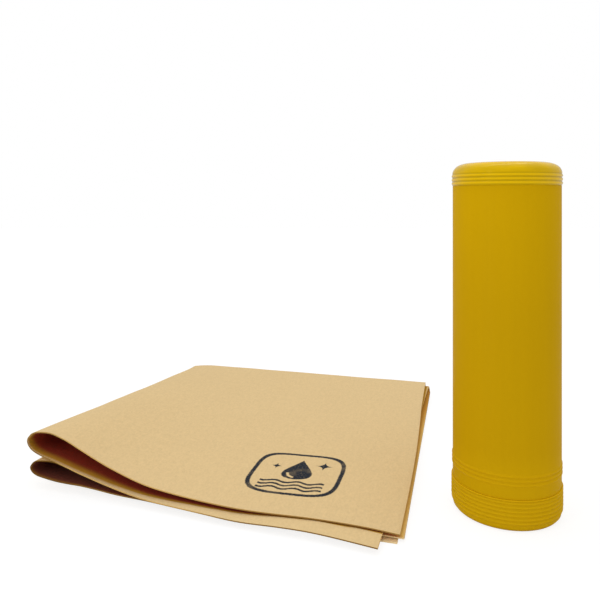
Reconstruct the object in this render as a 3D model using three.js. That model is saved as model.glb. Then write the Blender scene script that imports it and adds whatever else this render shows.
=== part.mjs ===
// A synthetic chamois cloth, folded in four, and the storage tube that it is kept in.
// Lengths are in millimetres and +Z is up. The origin is the middle of the base of the whole set.
// Seen along +Y, the cloth lies at the left and the tube stands at the right, near the cloth's
// front right corner. The tube has a lid that pulls off upwards and a base cap pushed on below.

import * as THREE from 'three';
import { mergeVertices } from 'three/addons/utils/BufferGeometryUtils.js';

// Storage tube, outside sizes
const tubeRadius = 34;
const tubeHeight = 225;
const tubeWall = 1.2;
const tubeSides = 60;

// Running gaps between the plastic pieces
const sleeveGap = 0.3;
const seatGap = 0.3;

// Lid
const lidProud = 0.75;
const lidWall = 1.2;
const lidSkirt = 14.8;
const lidShoulderWidth = 9.3;
const lidShoulderHeight = 7.2;
const lidLedge = 2;
const lidRibs = 3;
const lidRibPitch = 2.4;
const lidRibDepth = 0.5;
const lidRimBand = 0.4;

// Base cap
const capProud = 0.9;
const capFloor = 2;
const capHeight = 19.6;
const capFootWidth = 3.6;
const capFootHeight = 7.5;
const capRibs = 6;
const capRibPitch = 2.45;
const capRibDepth = 0.6;
const capLip = 0.8;

// Three moulded ribs round the tube, above the base cap
const tubeRibs = 3;
const tubeRibPitch = 2.6;
const tubeRibHeight = 0.5;
const tubeRibTop = 33.6;

// Points on the curves of the lathed profiles
const shoulderSteps = 7;
const ribSteps = 4;

// Cloth: one sheet, folded across its width and then across its length
const clothThickness = 0.8;
const clothWidth = 261;
const clothDepth = 297;
const clothFromTubeX = -77.2;
const clothFromTubeY = -50.6;
const frontEdgeAngle = THREE.MathUtils.degToRad(162);
const sideEdgeAngle = THREE.MathUtils.degToRad(76.3);

// Height of the open loop at the front of the first fold, and the two radii of the second fold
const loopHeight = 40;
const outerFoldRadius = 6.5;
const innerFoldRadius = 2.9;

// How much deeper the cloth is at its right side than at its left
const foldSkew = 6;

// How far the doubled corner at the back is drawn in, and over what width
const cornerPull = 9;
const cornerReach = 26;

// Place of each layer's free corner in the cloth's own frame: to the left, and behind. The two
// upper ones lie lowEdgeBehind further back.
const topCorner = { left: 0, behind: 0 };
const secondCorner = { left: 11, behind: -17.2 };
const thirdCorner = { left: -1.9, behind: 7.3 };
const bottomCorner = { left: 1.9, behind: 3.5 };

// How far the lower loop's front end stands ahead of the upper loop's
const lowerLoopAhead = 2;

// How much the second layer's front edge curves in from its corner, and how late the third
// layer's comes forward to the loop. At 1 either edge would be straight.
const secondEdgeCurve = 1.5;
const thirdEdgeCurve = 4;

// How far back the two upper layers' front edge lies at the right, where it is low, and the shares
// of the cloth's width over which it comes forward to the left
const lowEdgeBehind = 5.05;
const lowEdgeShares = [0.15, 0.45];

// How far the top layer's right edge bulges out, and the share of its length that bulges
const edgeBulge = 1.8;
const bulgeShare = 0.75;

// How far the inner layers show past the outer ones at the right end of the second fold
const secondLayerPast = 3.2;
const thirdLayerPast = 4.7;
const backWidth = 258;

// Front edge of the two upper layers: from the top layer's right corner, round the loop at the
// left, and back to the second layer's right corner. Each pair is a share of clothWidth and a
// share of loopHeight, for the middle of the sheet.
const upperEdgeShares = [
  [0.0017, 0.12], [0.083, 0.155], [0.214, 0.164], [0.361, 0.17], [0.47, 0.206], [0.55, 0.25],
  [0.64, 0.334], [0.74, 0.52], [0.79, 0.643], [0.84, 0.785], [0.89, 0.92], [0.937, 0.99],
  [0.976, 0.97], [1, 0.87], [1.003, 0.765], [0.989, 0.66], [0.963, 0.59], [0.922, 0.53],
  [0.88, 0.46], [0.825, 0.368], [0.74, 0.25], [0.63, 0.15], [0.45, 0.11], [0.376, 0.096],
  [0.283, 0.115], [0.214, 0.122], [0.154, 0.117], [0.103, 0.109], [0.0443, 0.096],
];

// Front edge of the two lower layers, from the bottom layer's right corner to the third layer's
const lowerEdgeShares = [
  [0.0073, 0.01], [0.23, 0.01], [0.43, 0.01], [0.53, 0.03], [0.636, 0.08], [0.728, 0.109],
  [0.79, 0.147], [0.835, 0.171], [0.872, 0.177], [0.905, 0.187], [0.938, 0.213], [0.968, 0.25],
  [0.985, 0.32], [0.986, 0.41], [0.967, 0.49], [0.928, 0.495], [0.885, 0.425], [0.83, 0.33],
  [0.74, 0.203], [0.63, 0.108], [0.5, 0.066], [0.35, 0.05], [-0.0073, 0.046],
];

// Places across each half of the folded sheet, as shares of its length from free edge to fold
const acrossShares = [
  0, 0.1, 0.2, 0.3, 0.42, 0.54, 0.64, 0.71, 0.78, 0.84, 0.89, 0.925, 0.95, 0.97, 0.985, 1,
];

// Steps along each layer and round the second fold
const layerSteps = 4;
const foldSteps = 8;
const curveSamples = 900;

// Colours
const plasticYellow = 0xc79b06;
const lidYellow = 0xd2a71a;
const chamoisTan = 0xdabe8c;

// Sizes that follow from those above
const lidRadius = tubeRadius + lidProud;
const lidInner = lidRadius - lidWall;
const neckRadius = lidInner - sleeveGap;
const lidBottom = tubeHeight - lidSkirt;
const lidLedgeHeight = tubeHeight - lidShoulderHeight;
const rimHeight = lidLedgeHeight - seatGap;
const capRadius = tubeRadius + capProud;
const capInner = capRadius - tubeWall;
const footRadius = capInner - sleeveGap;
const tubeInner = tubeRadius - tubeWall;
const foldAxisHeight = outerFoldRadius + clothThickness / 2;
const foldMiddleRadius = (outerFoldRadius + innerFoldRadius) / 2;
const foldHalfGap = (outerFoldRadius - innerFoldRadius) / 2;

// Turns a profile of [radius, height] pairs round the upright axis into a closed solid
function turned(profile) {
  const points = profile.map(([radius, height]) => new THREE.Vector2(radius, height));
  const lathe = new THREE.LatheGeometry(points, tubeSides);
  lathe.deleteAttribute('normal');
  lathe.deleteAttribute('uv');
  lathe.rotateX(Math.PI / 2);
  const welded = mergeVertices(lathe);
  const corners = welded.index.array;
  const kept = [];
  for (let i = 0; i < corners.length; i += 3) {
    const [a, b, c] = [corners[i], corners[i + 1], corners[i + 2]];
    if (a !== b && b !== c && c !== a) {
      kept.push(a, b, c);
    }
  }
  welded.setIndex(kept);
  welded.computeVertexNormals();
  return welded;
}

function plastic(name, profile, colour, roughness) {
  const material = new THREE.MeshStandardMaterial({ color: colour, roughness, metalness: 0 });
  const mesh = new THREE.Mesh(turned(profile), material);
  mesh.name = name;
  return mesh;
}

// Round ribs stacked upwards: each has its crest on the surface and a groove on either side
function grooves(firstCrest, count, pitch, depth, surface) {
  const points = [];
  for (let i = 0; i <= count * ribSteps; i += 1) {
    const turn = i / ribSteps;
    const height = firstCrest + (turn - 0.5) * pitch;
    const dip = depth * (0.5 + 0.5 * Math.cos(2 * Math.PI * turn));
    points.push([surface(height) - dip, height]);
  }
  return points;
}

function makeTubeBody() {
  const ribs = [];
  const firstCrest = tubeRibTop - (tubeRibs - 1) * tubeRibPitch;
  for (let i = 0; i <= tubeRibs * ribSteps; i += 1) {
    const turn = i / ribSteps;
    const rise = tubeRibHeight * (0.5 - 0.5 * Math.cos(2 * Math.PI * turn));
    ribs.push([tubeRadius + rise, firstCrest + (turn - 0.5) * tubeRibPitch]);
  }
  const bottom = capFloor + seatGap;
  const capEdge = capHeight + seatGap;
  const lidEdge = lidBottom - seatGap;
  const profile = [
    [footRadius, bottom],
    [footRadius, capEdge],
    [tubeRadius, capEdge],
    ...ribs,
    [tubeRadius, lidEdge],
    [neckRadius, lidEdge],
    [neckRadius, rimHeight],
    [neckRadius - tubeWall, rimHeight],
    [neckRadius - tubeWall, lidEdge - tubeWall],
    [tubeInner, lidEdge - 2 * tubeWall],
    [tubeInner, capEdge + 2 * tubeWall],
    [footRadius - tubeWall, capEdge + tubeWall],
    [footRadius - tubeWall, bottom],
    [footRadius, bottom],
  ];
  return plastic('tube_body', profile, plasticYellow, 0.42);
}

// A quarter of an ellipse from the wall to the flat end of the lid or the cap
function roundedEnd(radius, startHeight, width, rise) {
  const points = [];
  for (let i = 0; i <= shoulderSteps; i += 1) {
    const angle = (i / shoulderSteps) * Math.PI / 2;
    const out = radius - width + width * Math.cos(angle);
    points.push([out, startHeight + rise * Math.sin(angle)]);
  }
  return points;
}

function makeLid() {
  const firstCrest = lidBottom + lidRimBand + lidRibPitch / 2;
  const ribs = grooves(firstCrest, lidRibs, lidRibPitch, lidRibDepth, () => lidRadius);
  const shoulder = roundedEnd(lidRadius, lidLedgeHeight, lidShoulderWidth, lidShoulderHeight);
  const ceiling = roundedEnd(
    lidInner - lidLedge,
    lidLedgeHeight,
    lidShoulderWidth - lidWall,
    lidShoulderHeight - lidWall,
  ).reverse();
  const profile = [
    [0, tubeHeight - lidWall],
    ...ceiling,
    [lidInner, lidLedgeHeight],
    [lidInner, lidBottom],
    [lidRadius, lidBottom],
    ...ribs,
    ...shoulder,
    [0, tubeHeight],
  ];
  return plastic('lid', profile, lidYellow, 0.25);
}

function makeBaseCap() {
  const foot = (height) => {
    const below = Math.max(0, capFootHeight - height) / capFootHeight;
    return capRadius - capFootWidth + capFootWidth * Math.sqrt(1 - below * below);
  };
  const topCrest = capHeight - capLip - capRibPitch / 2;
  const firstCrest = topCrest - (capRibs - 1) * capRibPitch;
  const ribs = grooves(firstCrest, capRibs, capRibPitch, capRibDepth, foot);
  const lowest = ribs[0][1];
  const sole = [];
  for (let i = 0; i < shoulderSteps; i += 1) {
    const height = lowest * (i / shoulderSteps) ** 2;
    sole.push([foot(height) - capRibDepth * (i / shoulderSteps), height]);
  }
  const profile = [
    [0, 0],
    ...sole,
    ...ribs,
    [capRadius, capHeight - capLip / 2],
    [capRadius, capHeight],
    [capInner, capHeight],
    [capInner, capFloor],
    [0, capFloor],
  ];
  return plastic('base_cap', profile, plasticYellow, 0.4);
}

// The folded sheet's front edge, as two halves that meet at the outermost point of the loop
function foldedEdge(shares) {
  const points = shares.map(
    ([along, up]) => new THREE.Vector3(along * clothWidth, 0, up * loopHeight),
  );
  const curve = new THREE.CatmullRomCurve3(points, false, 'centripetal');
  curve.arcLengthDivisions = curveSamples;
  let foldPlace = 0;
  for (let i = 0; i <= curveSamples; i += 1) {
    const place = i / curveSamples;
    if (curve.getPointAt(place).x > curve.getPointAt(foldPlace).x) {
      foldPlace = place;
    }
  }
  return {
    outer: (share) => curve.getPointAt(foldPlace * share),
    inner: (share) => curve.getPointAt(1 - (1 - foldPlace) * share),
  };
}

const upperEdge = foldedEdge(upperEdgeShares);
const lowerEdge = foldedEdge(lowerEdgeShares);

// Where a layer meets the second fold: how far left, and how far out from the fold's middle radius
function backPlace(share, rightEnd, side) {
  const straight = backWidth - foldHalfGap - rightEnd;
  const whole = straight + foldHalfGap * Math.PI / 2;
  const along = share * whole;
  if (along <= straight) {
    return { left: rightEnd + along, out: side * foldHalfGap };
  }
  const angle = (along - straight) / foldHalfGap;
  return {
    left: backWidth - foldHalfGap + foldHalfGap * Math.sin(angle),
    out: side * foldHalfGap * Math.cos(angle),
  };
}

// The second fold starts further forward near the doubled corner, which rounds that corner
function foldStart(left) {
  const past = THREE.MathUtils.clamp((left - backWidth + cornerReach) / cornerReach, 0, 1);
  const skew = foldSkew * (0.5 - left / backWidth);
  return clothDepth + skew - cornerPull * past * past;
}

// One line of the sheet's middle surface, from its upper front edge, back round the second fold
// and forward to its lower front edge. Share runs from the free edge, 0, to the first fold, 1.
function sheetLine(share, isOuter) {
  const half = isOuter ? 'outer' : 'inner';
  const side = isOuter ? 1 : -1;
  const upperCorner = isOuter ? topCorner : secondCorner;
  const lowerCorner = isOuter ? bottomCorner : thirdCorner;
  const upper = upperEdge[half](share);
  const lower = lowerEdge[half](share);
  const forward = THREE.MathUtils.smoothstep(upper.x / clothWidth, ...lowEdgeShares);
  const upperBehind = upperCorner.behind * (1 - share) ** secondEdgeCurve
    + lowEdgeBehind * (1 - forward);
  const lowerShare = isOuter ? share : share ** thirdEdgeCurve;
  const lowerBehind = THREE.MathUtils.lerp(lowerCorner.behind, -lowerLoopAhead, lowerShare);
  const upperBack = backPlace(share, isOuter ? 0 : -secondLayerPast, side);
  const lowerBack = backPlace(share, isOuter ? bottomCorner.left / 2 : -thirdLayerPast, side);
  const radius = foldMiddleRadius + upperBack.out;
  const start = foldStart(upperBack.left);
  const bulge = isOuter ? edgeBulge * (1 - share) ** 3 : 0;
  const line = [];
  for (let i = 0; i < layerSteps; i += 1) {
    const part = i / layerSteps;
    const out = bulge * Math.sin(Math.PI * Math.min(1, part / bulgeShare));
    line.push([
      THREE.MathUtils.lerp(upper.x, upperBack.left, part) - out,
      THREE.MathUtils.lerp(upperBehind, start, part),
      THREE.MathUtils.lerp(upper.z, foldAxisHeight + radius, part),
    ]);
  }
  for (let i = 0; i <= foldSteps; i += 1) {
    const part = i / foldSteps;
    line.push([
      THREE.MathUtils.lerp(upperBack.left, lowerBack.left, part),
      start + radius * Math.sin(Math.PI * part),
      foldAxisHeight + radius * Math.cos(Math.PI * part),
    ]);
  }
  for (let i = layerSteps - 1; i >= 0; i -= 1) {
    const part = i / layerSteps;
    line.push([
      THREE.MathUtils.lerp(lower.x, lowerBack.left, part),
      THREE.MathUtils.lerp(lowerBehind, start, part),
      THREE.MathUtils.lerp(Math.max(lower.z, clothThickness / 2), foldAxisHeight - radius, part),
    ]);
  }
  return line.map(([left, behind, up]) => new THREE.Vector3(
    left * Math.cos(frontEdgeAngle) + behind * Math.cos(sideEdgeAngle),
    left * Math.sin(frontEdgeAngle) + behind * Math.sin(sideEdgeAngle),
    up,
  ));
}

// The sheet's lines side by side, from the top layer's free edge to the second layer's
function sheetLines() {
  const outer = acrossShares.map((share) => sheetLine(share, true));
  const inner = acrossShares.slice(0, -1).reverse().map((share) => sheetLine(share, false));
  return [...outer, ...inner];
}

function sheetNormal(lines, row, step) {
  const before = lines[Math.max(row - 1, 0)][step];
  const after = lines[Math.min(row + 1, lines.length - 1)][step];
  const front = lines[row][Math.max(step - 1, 0)];
  const back = lines[row][Math.min(step + 1, lines[row].length - 1)];
  const across = new THREE.Vector3().subVectors(after, before);
  const along = new THREE.Vector3().subVectors(back, front);
  return along.cross(across).normalize();
}

function makeCloth() {
  const lines = sheetLines();
  const rows = lines.length;
  const steps = lines[0].length;
  const positions = [];
  for (const side of [1, -1]) {
    for (let row = 0; row < rows; row += 1) {
      for (let step = 0; step < steps; step += 1) {
        const normal = sheetNormal(lines, row, step);
        const point = lines[row][step].clone();
        point.addScaledVector(normal, side * clothThickness / 2);
        positions.push(point.x, point.y, point.z);
      }
    }
  }
  const faces = [];
  const at = (row, step, side) => side * rows * steps + row * steps + step;
  const quad = (a, b, c, d) => faces.push(a, b, c, a, c, d);
  for (let row = 0; row + 1 < rows; row += 1) {
    for (let step = 0; step + 1 < steps; step += 1) {
      quad(at(row, step, 0), at(row, step + 1, 0), at(row + 1, step + 1, 0), at(row + 1, step, 0));
      quad(at(row, step, 1), at(row + 1, step, 1), at(row + 1, step + 1, 1), at(row, step + 1, 1));
    }
    quad(at(row, 0, 0), at(row + 1, 0, 0), at(row + 1, 0, 1), at(row, 0, 1));
    const end = steps - 1;
    quad(at(row, end, 0), at(row, end, 1), at(row + 1, end, 1), at(row + 1, end, 0));
  }
  for (let step = 0; step + 1 < steps; step += 1) {
    quad(at(0, step, 0), at(0, step, 1), at(0, step + 1, 1), at(0, step + 1, 0));
    const last = rows - 1;
    quad(at(last, step, 0), at(last, step + 1, 0), at(last, step + 1, 1), at(last, step, 1));
  }
  const sheet = new THREE.BufferGeometry();
  sheet.setAttribute('position', new THREE.Float32BufferAttribute(positions, 3));
  sheet.setIndex(faces);
  sheet.computeVertexNormals();
  const material = new THREE.MeshStandardMaterial({
    color: chamoisTan,
    roughness: 0.95,
    metalness: 0,
  });
  const mesh = new THREE.Mesh(sheet, material);
  mesh.name = 'cloth';
  mesh.position.set(clothFromTubeX, clothFromTubeY, 0);
  return mesh;
}

const storageTube = new THREE.Group();
storageTube.add(makeTubeBody(), makeBaseCap(), makeLid());

const clothAndTube = new THREE.Group();
clothAndTube.add(storageTube, makeCloth());

// The whole set stands on the plane z = 0, with the origin under the middle of its box
const extent = new THREE.Box3().setFromObject(clothAndTube, true);
const middle = extent.getCenter(new THREE.Vector3());
clothAndTube.position.set(-middle.x, -middle.y, 0);

export default clothAndTube;
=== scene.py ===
import math

import bpy
import numpy as np
from bpy.props import FloatProperty, FloatVectorProperty, IntProperty, PointerProperty
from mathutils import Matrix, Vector, noise


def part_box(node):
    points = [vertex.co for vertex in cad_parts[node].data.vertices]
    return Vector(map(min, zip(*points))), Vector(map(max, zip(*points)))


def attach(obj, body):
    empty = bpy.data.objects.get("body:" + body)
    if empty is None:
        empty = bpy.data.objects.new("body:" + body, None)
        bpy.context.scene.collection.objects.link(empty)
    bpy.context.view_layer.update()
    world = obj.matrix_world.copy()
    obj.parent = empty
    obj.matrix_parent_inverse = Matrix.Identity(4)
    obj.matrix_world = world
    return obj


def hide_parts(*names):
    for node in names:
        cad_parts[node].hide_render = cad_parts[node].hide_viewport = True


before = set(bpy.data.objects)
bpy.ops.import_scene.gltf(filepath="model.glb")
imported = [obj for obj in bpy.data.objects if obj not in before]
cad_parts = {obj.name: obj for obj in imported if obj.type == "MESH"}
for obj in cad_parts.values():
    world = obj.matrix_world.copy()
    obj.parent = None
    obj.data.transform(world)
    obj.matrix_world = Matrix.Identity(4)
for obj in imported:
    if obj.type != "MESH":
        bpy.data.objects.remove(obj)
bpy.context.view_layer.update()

bl_info = {
    "name": "Chamois Cloth and Tube",
    "version": (1, 0, 0),
    "blender": (4, 5, 0),
    "location": "3D View > Sidebar > Chamois",
    "description": "Makes a folded synthetic chamois cloth and the tube that it is kept in",
    "category": "Add Mesh",
}

FIXED_BODY = "cloth_and_tube"
LID_BODY = "lid"

# The camera, from pixels: its focal length and how far the horizon lies above the middle. The
# sensor's width and so the lens are in millimetres, and the range that it sees is in metres
FRAME_HEIGHT, FOCAL_LENGTH, HORIZON = 616, 650, 108
SENSOR_WIDTH = 36
LENS = FOCAL_LENGTH / FRAME_HEIGHT * SENSOR_WIDTH
SHIFT = -HORIZON / FRAME_HEIGHT
CAMERA_RANGE = (0.01, 50)

# Places closer than this, in metres, are merged. Edges of the plastic and of the cloth are rounded
# where they are sharper than these angles, and look smooth where they are flatter
MERGE_DISTANCE = 1e-6
PLASTIC_ANGLE, CLOTH_ANGLE, SMOOTH_ANGLE = 38, 60, 40

NODE_SPACING = (220, -260)
NODES_ACROSS = 9


def from_screen(red, green, blue):
    """A colour as it looks on a screen, 0 to 255, as the linear colour that materials take."""
    shares = [value / 255 for value in (red, green, blue)]
    return tuple(s / 12.92 if s <= 0.04045 else ((s + 0.055) / 1.055) ** 2.4 for s in shares)


def tube_axis():
    """The tube's upright axis, as its place on the floor."""
    low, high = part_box("tube_body")
    return (low[0] + high[0]) / 2, (low[1] + high[1]) / 2


# Property groups: the sizes and colours that a user would change


def length(name, description, default):
    return FloatProperty(
        name=name, description=description, default=default, precision=5,
        unit="LENGTH", subtype="DISTANCE",
    )


def number(name, description, default, **kind):
    return FloatProperty(name=name, description=description, default=default, **kind)


def portion(name, description, default):
    return number(name, description, default, subtype="FACTOR")


def direction(name, description, degrees):
    return number(name, description, math.radians(degrees), subtype="ANGLE")


def tint(name, description, *linear):
    return FloatVectorProperty(
        name=name, description=description, default=linear, subtype="COLOR",
        size=3, min=0, max=1,
    )


def colour(name, description, *screen):
    return tint(name, description, *from_screen(*screen))


class TubeSettings(bpy.types.PropertyGroup):
    radius: length("Radius", "Outside radius of the tube", 0.034)
    height: length("Height", "Height of the closed tube with its lid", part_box("lid")[1][2])
    wall: length("Wall", "Thickness of the plastic walls", 0.0012)
    gap: length("Gap", "Clearance between the plastic pieces", 0.0003)
    seam: length("Seam", "Narrow line where the lid or the base cap meets the tube", 0.00006)
    edge: length("Edge Rounding", "Width of the small bevel on every sharp edge", 0.00016)
    turns: IntProperty(
        name="Turns", description="Flats round each piece", default=144, min=24, max=256,
    )
    rib_height: length("Tube Rib Height", "How far the tube's ribs stand out", 0.0005)
    rib_pitch: length("Tube Rib Pitch", "Distance between the tube's ribs", 0.0026)
    rib_top: length("Top Rib", "Height of the tube's top rib", 0.0336)
    lid_proud: length("Lid Proud", "How far the lid stands out past the tube", 0.00075)
    lid_skirt: length("Lid Skirt", "Height of the lid", 0.0148)
    lid_shoulder_width: length("Shoulder Width", "Width of the lid's rounded shoulder", 0.0093)
    lid_shoulder_height: length("Shoulder Height", "Height of the rounded shoulder", 0.0072)
    lid_ledge: length("Lid Ledge", "Width of the ledge that seats on the tube's rim", 0.002)
    lid_rib_pitch: length("Lid Rib Pitch", "Distance between the lid's ribs", 0.0024)
    lid_rib_depth: length("Lid Groove Depth", "Depth of the grooves between the ribs", 0.0005)
    lid_rim_band: length("Lid Rim Band", "Band at the lid's lower edge", 0.0004)
    lid_wave: length("Lid Waviness", "Unevenness of the moulded shoulder", 0.0003)
    lid_dish: length("Lid Dish", "How far the lid's flat top is dished", 0.0004)
    mark_radius: length("Moulding Mark", "Radius of the moulding mark on the lid", 0.0016)
    cap_proud: length("Cap Proud", "How far the base cap stands out past the tube", 0.0009)
    cap_floor: length("Cap Floor", "Thickness of the base cap's floor", 0.002)
    cap_height: length("Cap Height", "Height of the base cap", 0.0196)
    cap_foot_width: length("Foot Width", "Width of the base cap's rounded foot", 0.0036)
    cap_foot_height: length("Foot Height", "Height of the base cap's rounded foot", 0.0075)
    cap_rib_pitch: length("Cap Rib Pitch", "Distance between the base cap's ribs", 0.00245)
    cap_rib_depth: length("Cap Groove Depth", "Depth of the grooves between the ribs", 0.0006)
    cap_lip: length("Cap Lip", "Rounded band at the base cap's top edge", 0.0008)
    upper_colour: colour("Upper Colour", "Plastic near the top", 210, 165, 5)
    lower_colour: colour("Lower Colour", "Plastic lower down", 200, 156, 7)
    # Painted light: the foot is paler where shade falls just above the cap
    painted_foot_light: colour("Foot Colour", "Plastic just above the cap", 206, 162, 8)
    cap_colour: colour("Cap Colour", "Plastic of the base cap", 210, 167, 11)
    lid_colour: colour("Lid Colour", "Plastic of the lid", 220, 179, 8)
    lid_gloss: tint("Lid Gloss", "Tint of the lid's highlights", 1.0, 0.78, 0.15)


class ClothSettings(bpy.types.PropertyGroup):
    width: length("Width", "Width of the folded cloth", 0.261)
    depth: length("Depth", "Depth of the folded cloth up to the second fold", 0.297)
    fold_skew: length("Fold Skew", "How much deeper the cloth is at its right side", 0.006)
    thickness: length("Thickness", "Thickness of the sheet", 0.0008)
    from_tube: FloatVectorProperty(
        name="Corner", description="Front right corner from the tube's axis",
        default=(-0.0772, -0.0506), size=2, precision=5, unit="LENGTH",
    )
    front_angle: direction("Front Edge", "Direction of the front edge from that corner", 162)
    side_angle: direction("Side Edge", "Direction of the right edge from that corner", 76.3)
    loop_height: length("Loop Height", "Height of the open loop at the left", 0.04)
    outer_fold: length("Outer Fold", "Radius of the second fold's outer layers", 0.0065)
    inner_fold: length("Inner Fold", "Radius of the second fold's inner layers", 0.0029)
    corner_pull: length("Corner Pull", "How far the doubled corner is drawn in", 0.009)
    corner_reach: length("Corner Reach", "Width over which it is drawn in", 0.026)
    second_behind: length("Second Behind", "Second layer's corner, behind", -0.0172)
    third_behind: length("Third Behind", "Third layer's corner, behind", 0.0073)
    bottom_left: length("Bottom Left", "Bottom layer's corner, to the left", 0.0019)
    bottom_behind: length("Bottom Behind", "Bottom layer's corner, behind", 0.0035)
    lower_ahead: length("Lower Loop", "How far the lower loop stands ahead", 0.002)
    low_behind: length(
        "Low Edge", "How far the upper layers' front edge lies back where it is low", 0.00505,
    )
    low_start: portion("Low Start", "Share of the width where it starts to come forward", 0.15)
    low_end: portion("Low End", "Share of the width at which it has come forward", 0.45)
    edge_bulge: length("Edge Bulge", "How far the top layer's right edge bulges out", 0.0018)
    bulge_share: portion("Bulge Share", "Share of the right edge that bulges", 0.75)
    second_curve: number(
        "Second Curve", "How much the second layer's front edge curves in from its corner: "
        "at 1 it is straight", 1.5,
    )
    third_curve: number(
        "Third Curve", "How late the third layer's front edge comes forward to the loop: "
        "at 1 it is straight", 4.0,
    )
    second_past: length("Second Past", "Second layer past the top one at the back", 0.0032)
    third_past: length("Third Past", "Third layer past the top one at the back", 0.0047)
    back_width: length("Back Width", "Width of the cloth at the second fold", 0.258)
    wave_span: length("Wave Span", "Distance between the sheet's soft waves", 0.075)
    wave_cap: length("Wave Cap", "Height above which the waves grow no more", 0.012)
    wave_rise: portion(
        "Wave Rise", "Height of the soft waves as a share of the sheet's own", 0.045,
    )
    # Painted shade inside the folds: where it starts and is darkest, in the upper loop and the
    # lower one
    deep_share: portion(
        "Deep Share", "Depth at which the inside of a fold is at its darkest, as a share of "
        "the fold's opening", 0.75,
    )
    deep_ahead: portion(
        "Deep Ahead", "How far ahead of the upper loop's edge its dark starts, as a share of "
        "that depth", 0.2,
    )
    floor_reach: number(
        "Floor Reach", "How much further in the upper loop's floor is darkest", 1.25,
    )
    deep_share_below: portion("Deep Share Below", "Deep Share of the lower loop", 0.45)
    deep_ahead_below: portion("Deep Ahead Below", "Deep Ahead of the lower loop", 0.7)
    deep_most: length("Deep Most", "Greatest depth at which a fold is at its darkest", 0.0095)
    deep_side: length("Deep Side", "The same depth at the open right side", 0.005)
    mark_left: length("Mark Left", "Ink mark's middle from the free edge", 0.079)
    mark_behind: length("Mark Behind", "Ink mark's middle from the front edge", 0.0576)
    mark_size: length("Mark Size", "Half the width of the ink mark", 0.033)
    face_colour: colour("Face", "Napped face of the chamois", 224, 195, 144)
    reverse_colour: colour("Reverse", "Reverse of the chamois", 226, 197, 145)
    # Painted shade: the face where it shows past the top layer, darker close to that layer
    painted_side_shade: colour("Side", "Face where it shows past the top layer", 234, 192, 104)
    painted_side_dark_shade: colour("Shaded Side", "The same close to the top layer", 196, 138, 48)
    # Painted shade inside the folds: the reverse darker and redder where shade falls in the loops
    painted_mouth_shade: colour("Shaded Fold", "Reverse just inside a fold", 192, 142, 40)
    painted_deep_shade: colour("Deep Fold", "Reverse deep inside a fold", 156, 60, 36)
    painted_roof_shade: colour("Fold Roof", "Reverse under the loop's roof", 214, 86, 62)
    painted_low_shade: colour("Low Fold", "Reverse just inside the lower loop", 146, 98, 34)
    painted_dark_shade: colour("Dark Fold", "Reverse deep inside the lower loop", 116, 56, 40)
    # Painted light: paler lower layers at the front corner, where little light reaches
    painted_corner_light: colour("Lit Corner", "Lower layers at the front corner", 246, 218, 164)
    cut_colour: colour("Cut Edge", "Cut edge of the chamois", 208, 168, 100)
    # Painted shade: cut edges darker near the loop and near the corner
    painted_cut_shade: colour("Shaded Cut Edge", "Cut edge near the ends", 116, 82, 28)
    ink_colour: colour("Ink", "Ink of the mark", 34, 40, 50)


class StageSettings(bpy.types.PropertyGroup):
    camera_left: length("Camera Left", "Camera to the left of the tube's axis", 0.135)
    camera_ahead: length("Camera Ahead", "Camera in front of the tube's axis", 0.426)
    camera_height: length("Camera Height", "Height of the level camera", 0.201)
    lens: number("Lens", "Focal length in millimetres", LENS, subtype="DISTANCE_CAMERA")
    shift: number("Shift", "Upward shift of the lens, as a share of the frame", SHIFT)
    floor_size: length("Floor Size", "Width of the floor", 8)
    floor_colour: tint("Floor", "Colour of the floor", 0.9, 0.9, 0.9)
    shadow_share: portion("Shadow Share", "White of the floor that shadows can darken", 0.22)
    floor_glow: portion("Floor Glow", "White of the floor that shadows leave alone", 0.835)
    low_light: number("Low Light", "Light of the surroundings at the horizon", 0.52)
    high_light: number("High Light", "Light of the surroundings overhead", 0.98)
    softbox_power: number("Softbox", "Power of the softbox overhead", 1.0, unit="POWER")
    overhead_power: number("Overhead Strip", "Power of the strip overhead", 1.0, unit="POWER")
    strip_power: number("Left Strip", "Power of the strip at the left", 0.9, unit="POWER")


# Small helpers for objects, meshes and nodes


def ramp_up(values, start, end):
    share = np.clip((values - start) / (end - start), 0, 1)
    return share ** 2 * (3 - 2 * share)


def added(name):
    """The object that was just added, renamed. It stays the active one until the next is added."""
    made = bpy.context.object
    made.name = made.data.name = name
    return made


def apply_modifier(piece, kind, **values):
    modifier = piece.modifiers.new(kind.title(), kind)
    for key, value in values.items():
        setattr(modifier, key, value)
    bpy.ops.object.modifier_apply(modifier=modifier.name)


def merge_doubles():
    bpy.ops.mesh.select_all(action="SELECT")
    bpy.ops.mesh.remove_doubles(threshold=MERGE_DISTANCE)


def round_edges(piece, width, sharper_than, **values):
    apply_modifier(
        piece, "BEVEL", width=width, segments=2, limit_method="ANGLE",
        angle_limit=math.radians(sharper_than), **values,
    )


def smooth_active():
    bpy.ops.object.shade_smooth_by_angle(angle=math.radians(SMOOTH_ANGLE))


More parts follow.
